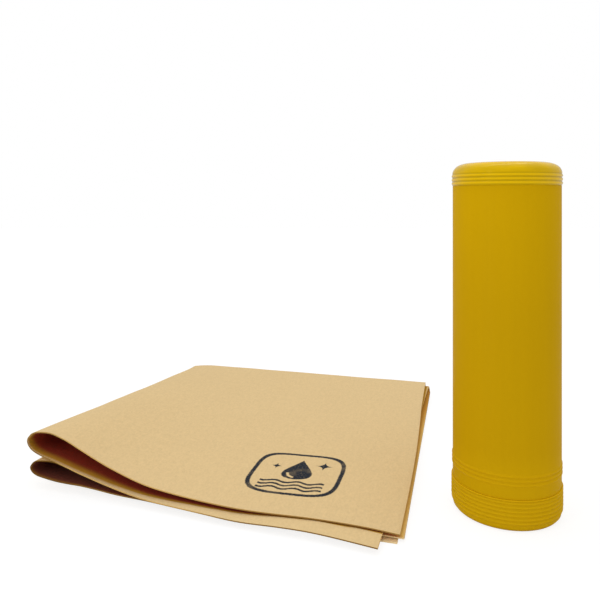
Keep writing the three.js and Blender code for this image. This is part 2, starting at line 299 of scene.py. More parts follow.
class Tree:
    """Builds a node tree: each call adds a node, sets its values and links what is given."""

    def __init__(self, tree):
        self.tree = tree
        self.count = 0

    def node(self, kind, settings=None, **inputs):
        made = self.tree.nodes.new(kind if kind.startswith("NodeGroup") else "ShaderNode" + kind)
        row, column = divmod(self.count, NODES_ACROSS)
        made.location = (NODE_SPACING[0] * column, NODE_SPACING[1] * row)
        self.count += 1
        for key, value in (settings or {}).items():
            setattr(made, key, value)
        for key, value in inputs.items():
            self.set(made.inputs[key.replace("_", " ")], value)
        return made

    def set(self, socket, value):
        if isinstance(value, bpy.types.NodeSocket):
            self.tree.links.new(value, socket)
        else:
            socket.default_value = value

    def fill(self, made, values, places=(0, 1, 2)):
        for place, value in zip(places, values):
            self.set(made.inputs[place], value)
        return made.outputs

    def math(self, operation, *values, clamp=False):
        made = self.node("Math", {"operation": operation, "use_clamp": clamp})
        return self.fill(made, values)[0]

    def plus(self, first, second):
        return self.math("ADD", first, second)

    def minus(self, first, second):
        return self.math("SUBTRACT", first, second)

    def times(self, first, second):
        return self.math("MULTIPLY", first, second)

    def size_of(self, value):
        return self.math("ABSOLUTE", value)

    def weigh(self, *parts):
        """The sum of values that are each given with their weight."""
        total, *others = [self.times(*part) for part in parts]
        for other in others:
            total = self.plus(total, other)
        return total

    def vector(self, operation, *values):
        made = self.node("VectorMath", {"operation": operation})
        return self.fill(made, values)["Value" if operation == "LENGTH" else "Vector"]

    def scaled(self, vector, factor):
        made = self.node("VectorMath", {"operation": "SCALE"}, Scale=factor)
        return self.fill(made, [vector])["Vector"]

    def ramp(self, value, low, high, to_low=0.0, to_high=1.0, kind="SMOOTHSTEP"):
        return self.node(
            "MapRange", {"interpolation_type": kind}, Value=value,
            From_Min=low, From_Max=high, To_Min=to_low, To_Max=to_high,
        ).outputs[0]

    def mix(self, factor, first, second):
        made = self.node("Mix", {"data_type": "RGBA"})
        return self.fill(made, (factor, first, second), (0, 6, 7))[2]

    def noise(self, vector, scale, detail=2.0, rough=0.5):
        made = self.node("TexNoise", Vector=vector, Scale=scale, Detail=detail, Roughness=rough)
        return made.outputs[0]

    def band(self, value, middle, half, soft):
        """1 within half of the middle, falling to 0 over soft."""
        away = self.size_of(self.minus(value, middle))
        return self.ramp(away, half - soft, half + soft, 1.0, 0.0)

    def attribute(self, name):
        return self.node("Attribute", {"attribute_name": name}).outputs["Fac"]

    def group(self, name, build, **inputs):
        """A shared effect, which is built the first time that it is called for."""
        if name not in bpy.data.node_groups:
            build(name)
        shared = {"node_tree": bpy.data.node_groups[name]}
        return self.node("Group", shared, **inputs).outputs

    def by_camera(self, light, seen):
        """One shader for the light on the pieces and another for what the camera itself sees."""
        ray = self.node("LightPath").outputs["Is Camera Ray"]
        made = self.node("MixShader")
        self.fill(made, (ray, light.outputs[0], seen.outputs[0]))
        return made

    def show(self, shader, kind="OutputMaterial"):
        self.node(kind, Surface=shader.outputs[0])


def fresh_tree(owner):
    """The node tree of a new material or world, emptied."""
    owner.use_nodes = True
    owner.node_tree.nodes.clear()
    return Tree(owner.node_tree)


def new_group(name, inputs, outputs):
    group = bpy.data.node_groups.new(name, "ShaderNodeTree")
    for way, sockets in (("INPUT", inputs), ("OUTPUT", outputs)):
        for label, kind in sockets.items():
            group.interface.new_socket(name=label, in_out=way, socket_type=kind)
    tree = Tree(group)
    return tree, tree.node("NodeGroupInput").outputs


VECTOR, COLOUR, NUMBER = "NodeSocketVector", "NodeSocketColor", "NodeSocketFloat"
SKIN = {"Colour": COLOUR, "Roughness": NUMBER, "Height": NUMBER}


# Shared effects


def chamois_nap(name):
    """Fine napped surface: grain, soft mottling, pores and a few specks, in metres of the sheet."""
    tree, given = new_group(
        name, {"Vector": VECTOR, "Colour": COLOUR, "Mottling": NUMBER, "Specks": NUMBER}, SKIN,
    )
    # The nap is brushed along the sheet, so its grain is longer that way
    brushed = (1.0, 0.55, 1.0)
    speck_colour = (*from_screen(128, 92, 52), 1)
    speck_radius, speckless_share = (0.012, 0.022), 0.72
    place = tree.vector("MULTIPLY", given["Vector"], brushed)
    grain = tree.noise(place, 640, 3, 0.65)
    fibre = tree.noise(place, 2300, 2, 0.6)
    mottle = tree.noise(place, 260, 2, 0.55)
    cloud = tree.noise(place, 30)
    tone = tree.weigh((grain, 0.6), (fibre, 0.3), (mottle, 0.3), (cloud, 0.1))
    tone = tree.math("MULTIPLY_ADD", tree.minus(tone, 0.65), given["Mottling"], 1.0)
    shaded = tree.scaled(given["Colour"], tone)
    cells = tree.node("TexVoronoi", Vector=given["Vector"], Scale=17.0).outputs
    near = tree.ramp(cells["Distance"], *speck_radius, 1.0, 0.0)
    picked = tree.node("SeparateColor", Color=cells["Color"]).outputs[0]
    speck = tree.times(near, tree.math("GREATER_THAN", picked, speckless_share))
    speck = tree.times(speck, given["Specks"])
    pores = tree.node("TexVoronoi", {"feature": "SMOOTH_F1"}, Vector=place, Scale=520.0)
    pitted = tree.ramp(pores.outputs["Distance"], 0.1, 0.6)
    tree.node(
        "NodeGroupOutput", Colour=tree.mix(speck, shaded, speck_colour),
        Roughness=tree.ramp(grain, 0.3, 0.7, 0.88, 0.98, "LINEAR"),
        Height=tree.weigh((grain, 0.55), (fibre, 0.3), (pitted, 0.25), (mottle, 0.9)),
    )


def ink_mark(name):
    """A stamp: a frame with rounded corners round a water drop over waves. 1 is inked."""
    tree, given = new_group(
        name, {"Vector": VECTOR, "Centre": VECTOR, "Radius": NUMBER}, {"Mask": NUMBER},
    )
    # Sizes as shares of the mark's radius. Each line is given by half its width
    soft = 0.012
    shake_scale, shake_reach = 26.0, (0.035, 0.035, 0)
    frame_reach, frame_line = 0.94, 0.045
    drop_middle, drop_half_height, drop_half_width = 0.22, 0.5, 0.26
    glint_middle, glint_radius, glint_line, glint_right = 0.01, 0.2, 0.03, -0.03
    wave_levels, wave_line, wave_end = (-0.42, -0.57, -0.72), 0.036, 0.68
    wave_turns, wave_rise = 13.0, 0.04
    stars = ((0.5, 0.45, 0.44), (-0.52, 0.28, 0.36))
    star_soft = 0.05

    place = tree.vector("SUBTRACT", given["Vector"], given["Centre"])
    place = tree.vector("DIVIDE", place, tree.node(
        "CombineXYZ", X=given["Radius"], Y=given["Radius"], Z=given["Radius"],
    ).outputs[0])
    shake = tree.node("TexNoise", Vector=place, Scale=shake_scale)
    shake = tree.vector("SUBTRACT", shake.outputs["Color"], (0.5, 0.5, 0.5))
    shake = tree.vector("MULTIPLY", shake, shake_reach)
    split = tree.node("SeparateXYZ", Vector=tree.vector("ADD", place, shake))
    across, up = tree.times(split.outputs[0], -1.0), split.outputs[1]

    def join(parts):
        whole = parts[0]
        for part in parts[1:]:
            whole = tree.math("MAXIMUM", whole, part)
        return whole

    fourth = [tree.math("POWER", tree.size_of(side), 4.0) for side in (across, up)]
    reach = tree.math("POWER", tree.plus(*fourth), 0.25)
    frame_lines = tree.band(reach, frame_reach, frame_line, soft)

    # Water drop: its half width at each height, as a share of its half height
    high = tree.math("DIVIDE", tree.minus(up, drop_middle), drop_half_height)
    below = tree.math("MAXIMUM", tree.plus(high, 1.0), 0.0)
    above = tree.math("POWER", tree.math("MAXIMUM", tree.minus(1.0, high), 0.0), 3.0)
    half = tree.times(tree.math("SQRT", tree.times(below, above)), drop_half_width)
    drop = tree.ramp(tree.minus(half, tree.size_of(across)), 0.0, 2 * soft)
    from_glint = tree.node("CombineXYZ", X=across, Y=tree.minus(up, glint_middle))
    glint = tree.vector("LENGTH", from_glint.outputs[0])
    glint = tree.band(glint, glint_radius, glint_line, soft)
    for side, end in ((across, glint_right), (up, glint_middle)):
        glint = tree.times(glint, tree.math("LESS_THAN", side, end))
    drop = tree.math("SUBTRACT", drop, glint, clamp=True)

    waves = []
    for level in wave_levels:
        swell = tree.times(tree.math("SINE", tree.times(across, wave_turns)), wave_rise)
        waves.append(tree.band(tree.minus(up, swell), level, wave_line, soft))
    inside = tree.math("LESS_THAN", tree.size_of(across), wave_end)
    parts = [frame_lines, drop, tree.times(join(waves), inside)]

    for x, y, size in stars:
        sides = [
            tree.math("SQRT", tree.size_of(tree.minus(side, middle)))
            for side, middle in ((across, x), (up, y))
        ]
        parts.append(tree.ramp(tree.plus(*sides), size, size + star_soft, 1.0, 0.0))

    worn = tree.ramp(tree.noise(given["Vector"], 900, 3, 0.6), 0.28, 0.46, 0.72, 1.0)
    patchy = tree.ramp(tree.noise(given["Vector"], 90), 0.3, 0.5, 0.88, 1.0)
    mask = tree.times(tree.times(join(parts), worn), patchy)
    tree.node("NodeGroupOutput", Mask=mask)


def moulded_plastic(name):
    """Moulded plastic: a slow change of tone with height, a paler foot painted as light, painted
    highlight and shade from each place's rib tone, faint streaks and a slight orange peel."""
    inputs = {
        "Vector": VECTOR, "Rib": NUMBER, "Upper": COLOUR, "Lower": COLOUR, "Foot": COLOUR,
        "Top": NUMBER, "Rib Contrast": NUMBER, "Roughness": NUMBER, "Swirl": NUMBER,
    }
    tree, given = new_group(name, inputs, SKIN)
    # Shares of the height where the foot's paler colour, which is painted light, starts and is
    # full, and the upper one's
    foot_ends, upper_ends = (0.22, 0.13), (0.5, 1.0)
    drawn_out, rubbed_out = (1.0, 1.0, 0.035), (1.0, 1.0, 0.2)
    place = given["Vector"]
    height = tree.node("SeparateXYZ", Vector=place).outputs[2]
    share = tree.math("DIVIDE", height, given["Top"], clamp=True)
    cloud = tree.minus(tree.noise(place, 16), 0.5)
    foot = tree.ramp(share, *foot_ends)
    share = tree.ramp(tree.math("MULTIPLY_ADD", cloud, 0.25, share), *upper_ends)
    base = tree.mix(share, given["Lower"], given["Upper"])
    base = tree.mix(foot, base, given["Foot"])
    streak = tree.noise(tree.vector("MULTIPLY", place, drawn_out), 260, 3, 0.6)
    grime = tree.noise(place, 420, 3, 0.65)
    tone = tree.plus(tree.weigh((streak, 0.05), (grime, 0.03)), 0.96)
    # Painted highlight and shade from each place's rib tone: crests paler, grooves darker
    tone = tree.math("MULTIPLY_ADD", given["Rib"], given["Rib Contrast"], tone)
    rub = tree.noise(tree.vector("MULTIPLY", place, rubbed_out), 95, 4, 0.7)
    uneven = tree.times(tree.minus(rub, 0.5), 0.16)
    peel = tree.noise(place, 330)
    swirl = tree.noise(place, 58, 1, 0.4)
    tree.node(
        "NodeGroupOutput", Colour=tree.scaled(base, tone),
        Roughness=tree.math("ADD", given["Roughness"], uneven, clamp=True),
        Height=tree.weigh((peel, 0.25), (swirl, given["Swirl"]), (streak, 0.12)),
    )


# Materials


def new_material(name):
    material = bpy.data.materials.new(name)
    return material, fresh_tree(material)


def finish_material(tree, shown, skin, relief, **own):
    """Ends a material with the colour that is shown, a shared effect's roughness and height, how
    far its relief stands out, and values of the shader's own."""
    bump = tree.node("Bump", Height=skin["Height"], Distance=relief, Strength=1.0)
    tree.show(tree.node(
        "BsdfPrincipled", Base_Color=shown, Roughness=skin["Roughness"],
        Normal=bump.outputs[0], **own,
    ))


def chamois_material(name, base, cloth, mottling, shades, marked=False):
    """Chamois of one colour, where marked with specks and the ink mark. Shades are painted shade
    and light: the colours that it takes on inside a fold or at an edge, each with the attribute
    that calls for it and the values where it starts and is full."""
    material, tree = new_material(name)
    place = tree.node("UVMap", {"uv_map": "sheet"}).outputs[0]
    nap = tree.group(
        "Chamois nap", chamois_nap, Vector=place, Colour=(*base, 1), Mottling=mottling,
        Specks=float(marked),
    )
    shown = nap["Colour"]
    if marked:
        centre = (cloth.mark_left, cloth.mark_behind, 0)
        mark = tree.group(
            "Ink mark", ink_mark, Vector=place, Centre=centre, Radius=cloth.mark_size,
        )
        shown = tree.mix(mark["Mask"], shown, (*cloth.ink_colour, 1))
    for attribute, start, end, shade in shades:
        given = tree.ramp(tree.attribute(attribute), start, end)
        shown = tree.mix(given, shown, (*shade, 1))
    finish_material(
        tree, shown, nap, 0.00026,
        Specular_IOR_Level=0.05, Sheen_Weight=0.03, Sheen_Roughness=0.6,
    )
    return material


def plastic_material(name, tube, tones, roughness, swirl, rib_contrast, **own):
    """Moulded plastic. Its tones are its colours near the top, lower down and at the foot, where
    the paler colour is painted light.
    """
    material, tree = new_material(name)
    upper, lower, foot = [(*tone, 1) for tone in tones]
    skin = tree.group(
        "Moulded plastic", moulded_plastic, Rib=tree.attribute("rib"), Rib_Contrast=rib_contrast,
        Vector=tree.node("TexCoord").outputs["Object"], Top=tube.height,
        Upper=upper, Lower=lower, Foot=foot, Roughness=roughness, Swirl=swirl,
    )
    finish_material(tree, skin["Colour"], skin, 0.0003, IOR=1.47, **own)
    return material


# Tube, lid and base cap: a profile is drawn by extruding a vertex, then spun round the axis

TUBE_RIBS, CAP_RIBS, LID_RIBS = 3, 6, 3

# Painted light as tones, where a rib's crest has tone 1 of painted highlight: beside the seam
# above the base cap, and on the cap's lip. Then the share of the cap's lip that is rounded
SEAM_PAINTED_LIGHT, LIP_PAINTED_HIGHLIGHT = 2, 3
LIP_SHARE = 0.6
LIP_STEPS, SOLE_STEPS = 8, 14

# Shares of the lid's shoulder where its painted highlight starts and is full, and shares of the
# flat top's radius: the dish's rings, where it is no longer even, and the moulding mark's inside
CROWN_HIGHLIGHT_ENDS = (0.35, 0.7)
DISH_SHARES = (0.97, 0.93, 0.88, 0.8, 0.7, 0.5, 0.3, 0.12)
EVEN_SHARE = 0.8
MARK_INSIDE = 0.85

# The shoulder's waves: share and fineness of each, how much closer they lie upwards, how much they
# lift it, and up to which share of its height the underside has none
LID_WAVES = ((1, 55), (0.5, 130))
WAVE_STRETCH, WAVE_LIFT, UNDERSIDE_RISE = 2.5, 0.6, 0.4


def spin_profile(name, profile, tube):
    """Spins points round the tube's axis. Each has a radius and a height, and where light or shade
    is painted on it also how near it is to a crest, 1, or to the bottom of a groove, -1."""
    axis_x, axis_y = tube_axis()
    profile = np.array([(*point, 0)[:3] for point in profile])
    places = [Vector((axis_x + radius, axis_y, height)) for radius, height, _ in profile]
    bpy.ops.mesh.primitive_plane_add(size=tube.wall, location=(0, 0, 0))
    piece = added(name)
    bpy.ops.object.mode_set(mode="EDIT")
    bpy.ops.mesh.select_all(action="SELECT")
    bpy.ops.mesh.merge(type="CENTER")
    bpy.ops.transform.translate(value=places[0])
    for start, end in zip(places, places[1:]):
        bpy.ops.mesh.extrude_vertices_move(TRANSFORM_OT_translate={"value": end - start})
    bpy.ops.mesh.select_all(action="SELECT")
    bpy.ops.mesh.spin(
        steps=tube.turns, angle=2 * math.pi, center=(axis_x, axis_y, 0), axis=(0, 0, 1),
    )
    merge_doubles()
    bpy.ops.mesh.normals_make_consistent(inside=False)
    bpy.ops.object.mode_set(mode="OBJECT")
    if len(piece.data.polygons) < tube.turns * (len(profile) - 2):
        raise RuntimeError(f"{name} wasn't spun whole")
    ribs = piece.data.attributes.new("rib", "FLOAT", "POINT")
    for vertex, rib in zip(piece.data.vertices, ribs.data):
        radius = math.hypot(vertex.co.x - axis_x, vertex.co.y - axis_y)
        away = np.hypot(profile[:, 0] - radius, profile[:, 1] - vertex.co.z)
        rib.value = profile[away.argmin(), 2]
    return piece


def finish_plastic(piece, tube, body, node, slot, name, tones, **looks):
    piece.data.materials.append(plastic_material(name, tube, tones, **looks))
    round_edges(piece, tube.edge, PLASTIC_ANGLE)
    bpy.ops.object.mode_set(mode="EDIT")
    merge_doubles()
    bpy.ops.object.mode_set(mode="OBJECT")
    smooth_active()
    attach(piece, body)
    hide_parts(node)


def rib_line(first_crest, count, pitch, steps=12):
    """Heights up a stack of ribs, each with its share of the way from crest to groove."""
    for i in range(count * steps + 1):
        turn = i / steps
        yield first_crest + (turn - 0.5) * pitch, 0.5 + 0.5 * math.cos(2 * math.pi * turn)


def quarter_round(radius, start, width, rise, steps=18):
    """A quarter of an ellipse from the upright wall in to the flat end."""
    for i in range(steps + 1):
        angle = i / steps * math.pi / 2
        yield radius - width + width * math.cos(angle), start + rise * math.sin(angle)


def make_tube_body(tube):
    foot = tube.radius + tube.cap_proud - tube.wall - tube.gap
    neck = tube.radius + tube.lid_proud - tube.wall - tube.gap
    bottom = tube.cap_floor + tube.gap
    cap_edge = tube.cap_height + tube.seam
    lid_edge = tube.height - tube.lid_skirt - tube.seam
    rim = tube.height - tube.lid_shoulder_height - tube.gap
    inner = tube.radius - tube.wall
    first_crest = tube.rib_top - (TUBE_RIBS - 1) * tube.rib_pitch
    ribs = [
        (tube.radius + tube.rib_height * (1 - groove), height, 1 - groove)
        for height, groove in rib_line(first_crest, TUBE_RIBS, tube.rib_pitch)
    ]
    # The seam's tone paints the tube paler just above the base cap: painted light over the seam's
    # shade
    profile = [
        (foot, bottom), (foot, cap_edge), (tube.radius, cap_edge, SEAM_PAINTED_LIGHT),
        (tube.radius, cap_edge + tube.cap_lip, 0), *ribs,
        (tube.radius, lid_edge), (neck, lid_edge), (neck, rim), (neck - tube.wall, rim),
        (neck - tube.wall, lid_edge - tube.wall), (inner, lid_edge - 2 * tube.wall),
        (inner, cap_edge + 2 * tube.wall), (foot - tube.wall, cap_edge + tube.wall),
        (foot - tube.wall, bottom), (foot, bottom),
    ]
    return spin_profile("storage_tube", profile, tube)


def make_base_cap(tube):
    radius = tube.radius + tube.cap_proud
    inner = radius - tube.wall

    def wall(height):
        below = max(0.0, tube.cap_foot_height - height) / tube.cap_foot_height
        return radius - tube.cap_foot_width * (1 - math.sqrt(1 - below * below))

    first_crest = tube.cap_height - tube.cap_lip - (CAP_RIBS - 0.5) * tube.cap_rib_pitch
    line = [
        (wall(height) - tube.cap_rib_depth * groove, height, 1 - 2 * groove)
        for height, groove in rib_line(first_crest, CAP_RIBS, tube.cap_rib_pitch)
    ]
    lowest = line[0][1]
    sole = []
    for share in np.linspace(0, 1, SOLE_STEPS, endpoint=False):
        height = lowest * share ** 2
        sole.append((wall(height) - tube.cap_rib_depth * share, height))
    lip_rise = tube.cap_lip * LIP_SHARE
    # The cap's lip takes a tone above a crest's: a painted highlight
    lip = [(*point, LIP_PAINTED_HIGHLIGHT) for point in quarter_round(
        radius, tube.cap_height - lip_rise, tube.cap_proud - tube.seam, lip_rise, LIP_STEPS,
    )]
    profile = [
        (0, 0), *sole, *line, *lip, (inner, tube.cap_height), (inner, tube.cap_floor),
        (0, tube.cap_floor),
    ]
    return spin_profile("ribbed_base_cap", profile, tube)


def make_lid(tube):
    radius = tube.radius + tube.lid_proud
    inner = radius - tube.wall
    bottom = tube.height - tube.lid_skirt
    ledge = tube.height - tube.lid_shoulder_height
    first_crest = bottom + tube.lid_rim_band + tube.lid_rib_pitch / 2
    ribs = [
        (radius - tube.lid_rib_depth * groove, height, 1 - 2 * groove)
        for height, groove in rib_line(first_crest, LID_RIBS, tube.lid_rib_pitch)
    ]
    groove_radius = radius - tube.lid_rib_depth
    _, *shoulder = quarter_round(
        groove_radius, ledge, tube.lid_shoulder_width, tube.lid_shoulder_height,
    )
    # The shoulder's upper part takes a painted highlight that grows towards the top
    shoulder = [
        (*point, float(ramp_up((i + 1) / len(shoulder), *CROWN_HIGHLIGHT_ENDS)))
        for i, point in enumerate(shoulder)
    ]
    ceiling = [*quarter_round(
        inner - tube.lid_ledge, ledge, tube.lid_shoulder_width - tube.wall,
        tube.lid_shoulder_height - tube.wall,
    )]
    flat = groove_radius - tube.lid_shoulder_width
    # The flat top and the moulding mark take tone 1: painted highlight
    dish = [
        (flat * share, tube.height - tube.lid_dish * (1 - share ** 4), 1)
        for share in DISH_SHARES
    ]
    low = tube.height - tube.lid_dish
    mark = [
        (tube.mark_radius, low, 1), (tube.mark_radius * MARK_INSIDE, low - tube.edge, 1),
        (0, low - tube.edge, 1),
    ]
    profile = [
        (0, tube.height - tube.wall), *reversed(ceiling), (inner, ledge), (inner, bottom),
        (tube.radius + tube.seam, bottom), *ribs, *shoulder, *dish, *mark,
    ]
    piece = spin_profile("ribbed_lid", profile, tube)
    axis_x, axis_y = tube_axis()
    top_rib = ribs[-1][1]
    tones = piece.data.attributes["rib"].data
    for vertex in piece.data.vertices:
        place = vertex.co
        out = Vector((place.x - axis_x, place.y - axis_y, 0))
        rise = (place.z - top_rib) / (tube.height - top_rib)
        underneath = out.length < inner - tube.lid_ledge and rise < UNDERSIDE_RISE
        if rise <= 0 or out.length < flat * EVEN_SHARE or underneath:
            continue
        stretched = Vector((place.x, place.y, place.z * WAVE_STRETCH))
        unevenness = sum(
            share * noise.noise(stretched * fineness) for share, fineness in LID_WAVES
        )
        swell = math.sin(math.pi * min(1, rise))
        outward = out.normalized() + Vector((0, 0, WAVE_LIFT))
        place += outward * unevenness * (swell * tube.lid_wave)
        # The waves also paint paler and darker streaks into the tone: painted highlight and shade
        tones[vertex.index].value += unevenness * swell
    return piece


# Cloth: one sheet, folded across its width and then across its length

# The front edge of the two upper layers and of the two lower ones, as shares of the folded
# width and of the loop's height, from the outer layer's corner round the loop to the inner one's
UPPER_EDGE_SHARES = (
    (0.0017, 0.12), (0.083, 0.155), (0.214, 0.164), (0.361, 0.17), (0.47, 0.206), (0.55, 0.25),
    (0.64, 0.334), (0.74, 0.52), (0.79, 0.643), (0.84, 0.785), (0.89, 0.92), (0.937, 0.99),
    (0.976, 0.97), (1, 0.87), (1.003, 0.765), (0.989, 0.66), (0.963, 0.59), (0.922, 0.53),
    (0.88, 0.46), (0.825, 0.368), (0.74, 0.25), (0.63, 0.15), (0.45, 0.11), (0.376, 0.096),
    (0.283, 0.115), (0.214, 0.122), (0.154, 0.117), (0.103, 0.109), (0.0443, 0.096),
)
LOWER_EDGE_SHARES = (
    (0.0073, 0.01), (0.23, 0.01), (0.43, 0.01), (0.53, 0.03), (0.636, 0.08), (0.728, 0.109),
    (0.79, 0.147), (0.835, 0.171), (0.872, 0.177), (0.905, 0.187), (0.938, 0.213), (0.968, 0.25),
    (0.985, 0.32), (0.986, 0.41), (0.967, 0.49), (0.928, 0.495), (0.885, 0.425), (0.83, 0.33),
    (0.74, 0.203), (0.63, 0.108), (0.5, 0.066), (0.35, 0.05), (-0.0073, 0.046),
)
HALF_COLUMNS, LAYER_ROWS, FOLD_ROWS = 110, 78, 24

# How closely columns crowd together at the open loops and rows at the front edges, and how quickly
# the top layer's bulge fades from its free edge inwards
COLUMN_CROWDING, ROW_CROWDING = 1.5, 1.6
BULGE_FADE = 3

# Shares of the way from the free edge to the fold: where the upper layers come to cover the lower
# front edge, and where the front edges' painted shade ends near the corner and starts near the loop
COVERED = (0.1, 0.35)
NEAR_CORNER, NEAR_LOOP = (0.3, 0.6), (0.8, 0.95)

# Depths of the painted shade in the folds, for the upper loop and the lower one: where they start
# and are full, from the right side in and times Deep Side. Then what the roof has more, from which
# depth and up to which share of the way to the fold
SIDE_REACH = ((-0.6, 1), (4, 9))
ROOF_EXTRA, ROOF_DEPTH, ROOF_END = 0.5, 0.7, 0.88

# Painted shade on the outer and inner half's upper front edge; least shade and rest of the lower
# ones
UPPER_EDGE_SHADES, LOWER_EDGE_SHADES = (0.4, 0.55), (1.5, 0.5)

# The third layer's side, with painted shade: shares of the depth over which it is paler and over
# which it is darker, its painted shade there, and metres from the free edge where that shade
# ends. Then the corner where paler colour is painted as light, in metres
SIDE_AHEAD, SIDE_AHEAD_SHADE = (0, 0.5), 0.35
SIDE_BEHIND, SIDE_BEHIND_SHADES = (0.6, 0.9), (0.2, 0.6)
SIDE_WIDTH, PAINTED_LIGHT_REACH = (0.03, 0.06), (0.01, 0.03)

# Soft waves: share of a second wave and how much finer it is
FINE_WAVE, FINER = 0.35, 2.7

# Material slots after the sheet's face, how strongly the nap mottles the faces and the cut edge,
# and the sheet's thickness over the rounding of that edge
REVERSE, CUT_EDGE = 1, 2
FACE_MOTTLING, CUT_MOTTLING = 0.42, 0.3
CUT_ROUNDING = 5


def smooth_line(points, steps=40):
    """Close places on a smooth line through the points, which rounds them without overshooting."""
    points = np.array(points, float)
    ends = np.vstack([2 * points[0] - points[1], points, 2 * points[-1] - points[-2]])
    along = np.linspace(0, 1, steps, endpoint=False)[:, None]
    places = []
    for i in range(len(points) - 1):
        near = ends[i:i + 4]
        gaps = np.linalg.norm(np.diff(near, axis=0), axis=1) ** 0.5
        leave, arrive = [
            ((b - a) / back - (c - a) / (back + on) + (c - b) / on) * gaps[1]
            for a, b, c, back, on in ((*near[:3], *gaps[:2]), (*near[1:], *gaps[1:]))
        ]
        places.append(
            (2 * along ** 3 - 3 * along ** 2 + 1) * near[1]
            + (along ** 3 - 2 * along ** 2 + along) * leave
            + (3 * along ** 2 - 2 * along ** 3) * near[2]
            + (along ** 3 - along ** 2) * arrive
        )
    return np.vstack([*places, points[-1:]])


def front_edge(edge_shares, cloth, shares, outer):
    """How far left and how high the front edge is, at shares of the way from its free end to the
    fold."""
    line = smooth_line(edge_shares) * (cloth.width, cloth.loop_height)
    run = run_lengths(line[None], 1)[0]
    fold = run[line[:, 0].argmax()]
    place = fold * shares if outer else run[-1] - (run[-1] - fold) * shares
    left = np.interp(place, run, line[:, 0])
    height = np.interp(place, run, line[:, 1])
    return left, np.maximum(height, cloth.thickness / 2)


def back_edge(cloth, shares, right_end, side):
    """How far left a layer meets the second fold, and how far out from the fold's middle radius."""
    half_gap = (cloth.outer_fold - cloth.inner_fold) / 2
    straight = cloth.back_width - half_gap - right_end
    along = shares * (straight + half_gap * math.pi / 2)
    angle = np.maximum(along - straight, 0) / half_gap
    left = right_end + np.minimum(along, straight) + half_gap * np.sin(angle)
    return left, side * half_gap * np.cos(angle)


def settle(share, easing=0.06):
    """Runs from 0 to 1 at an even rate and comes level over the last part."""
    rate = 1 / (1 - easing / 2)
    late = np.maximum(share - (1 - easing), 0)
    return rate * (share - late ** 2 / (2 * easing))


def half_sheet(cloth, shares, outer):
    """Rows of places (left, behind, up) on the sheet's middle surface, from its upper front edge,
    back round the second fold and forward to its lower front edge."""
    side = 1 if outer else -1
    upper_left, upper_height = front_edge(UPPER_EDGE_SHARES, cloth, shares, outer)
    lower_left, lower_height = front_edge(LOWER_EDGE_SHARES, cloth, shares, outer)
    upper_behind = (0 if outer else cloth.second_behind) * (1 - shares) ** cloth.second_curve
    forward = ramp_up(upper_left / cloth.width, cloth.low_start, cloth.low_end)
    upper_behind = upper_behind + cloth.low_behind * (1 - forward)
    lower_corner = cloth.bottom_behind if outer else cloth.third_behind
    late = shares if outer else shares ** cloth.third_curve
    lower_behind = lower_corner + (-cloth.lower_ahead - lower_corner) * late
    upper_back, out = back_edge(cloth, shares, 0 if outer else -cloth.second_past, side)
    # The bottom layer's right edge comes half way back out towards the second fold
    lower_end = cloth.bottom_left / 2 if outer else -cloth.third_past
    lower_back, _ = back_edge(cloth, shares, lower_end, side)
    radius = (cloth.outer_fold + cloth.inner_fold) / 2 + out
    axis = cloth.outer_fold + cloth.thickness / 2
    past = np.clip((upper_back - cloth.back_width) / cloth.corner_reach + 1, 0, 1)
    start = cloth.depth + cloth.fold_skew * (0.5 - upper_back / cloth.back_width)
    start -= cloth.corner_pull * past ** 2

    def layer(front, back, bulge=0.0):
        rows = []
        for share in np.linspace(0, 1, LAYER_ROWS, endpoint=False) ** ROW_CROWDING:
            out = bulge * math.sin(math.pi * min(1, share / cloth.bulge_share))
            rows.append([
                front[0] + (back[0] - front[0]) * share - out * (1 - shares) ** BULGE_FADE,
                front[1] + (back[1] - front[1]) * share,
                front[2] + (back[2] - front[2]) * settle(share),
            ])
        return rows

    upper = layer(
        (upper_left, upper_behind, upper_height), (upper_back, start, axis + radius),
        cloth.edge_bulge if outer else 0.0,
    )
    fold = []
    for share in np.linspace(0, 1, FOLD_ROWS + 1):
        fold.append([
            upper_back + (lower_back - upper_back) * share,
            start + radius * math.sin(math.pi * share),
            axis + radius * math.cos(math.pi * share),
        ])
    lower = layer((lower_left, lower_behind, lower_height), (lower_back, start, axis - radius))
    return np.array(upper + fold + lower[::-1]).transpose(0, 2, 1)


def painted_fold_shades(cloth, shares, outer, inner):
    """Painted shade inside the folds: how deep inside a fold each place of the two halves lies, 0
    in the open and 1 deep inside the upper loop, 1.5 under its roof, or -1 deep inside the lower
    one."""
    middle = len(outer) // 2
    openings = [
        np.maximum.accumulate(outer[0, :, 2] - inner[0, :, 2]),
        np.maximum.accumulate(inner[-1, :, 2] - outer[-1, :, 2]),
    ]
    covered = inner[-1, :, 1] + (outer[-1, :, 1] - inner[-1, :, 1]) * ramp_up(shares, *COVERED)
    front = [outer[0, :, 1], covered]
    side = np.array(SIDE_REACH) * cloth.deep_side
    deepest_at = [cloth.deep_share, cloth.deep_share_below]
    ahead = [cloth.deep_ahead, cloth.deep_ahead_below]
    depths = []
    for half in (outer, inner):
        parts = []
        for i, rows in enumerate((half[:middle], half[middle:])):
            reach = np.clip(openings[i] * deepest_at[i], cloth.thickness, cloth.deep_most)
            if half is inner and i == 0:
                reach = reach * cloth.floor_reach
            behind = ramp_up((rows[:, :, 1] - front[i]) / reach, -ahead[i], 1)
            parts.append((1 - 2 * i) * behind * ramp_up(rows[:, :, 0], *side[i]))
        depths.append(np.vstack(parts))
    roof = depths[0][:middle]
    roof += ROOF_EXTRA * ramp_up(roof, ROOF_DEPTH, 1) * (1 - ramp_up(shares, ROOF_END, 1))
    return depths


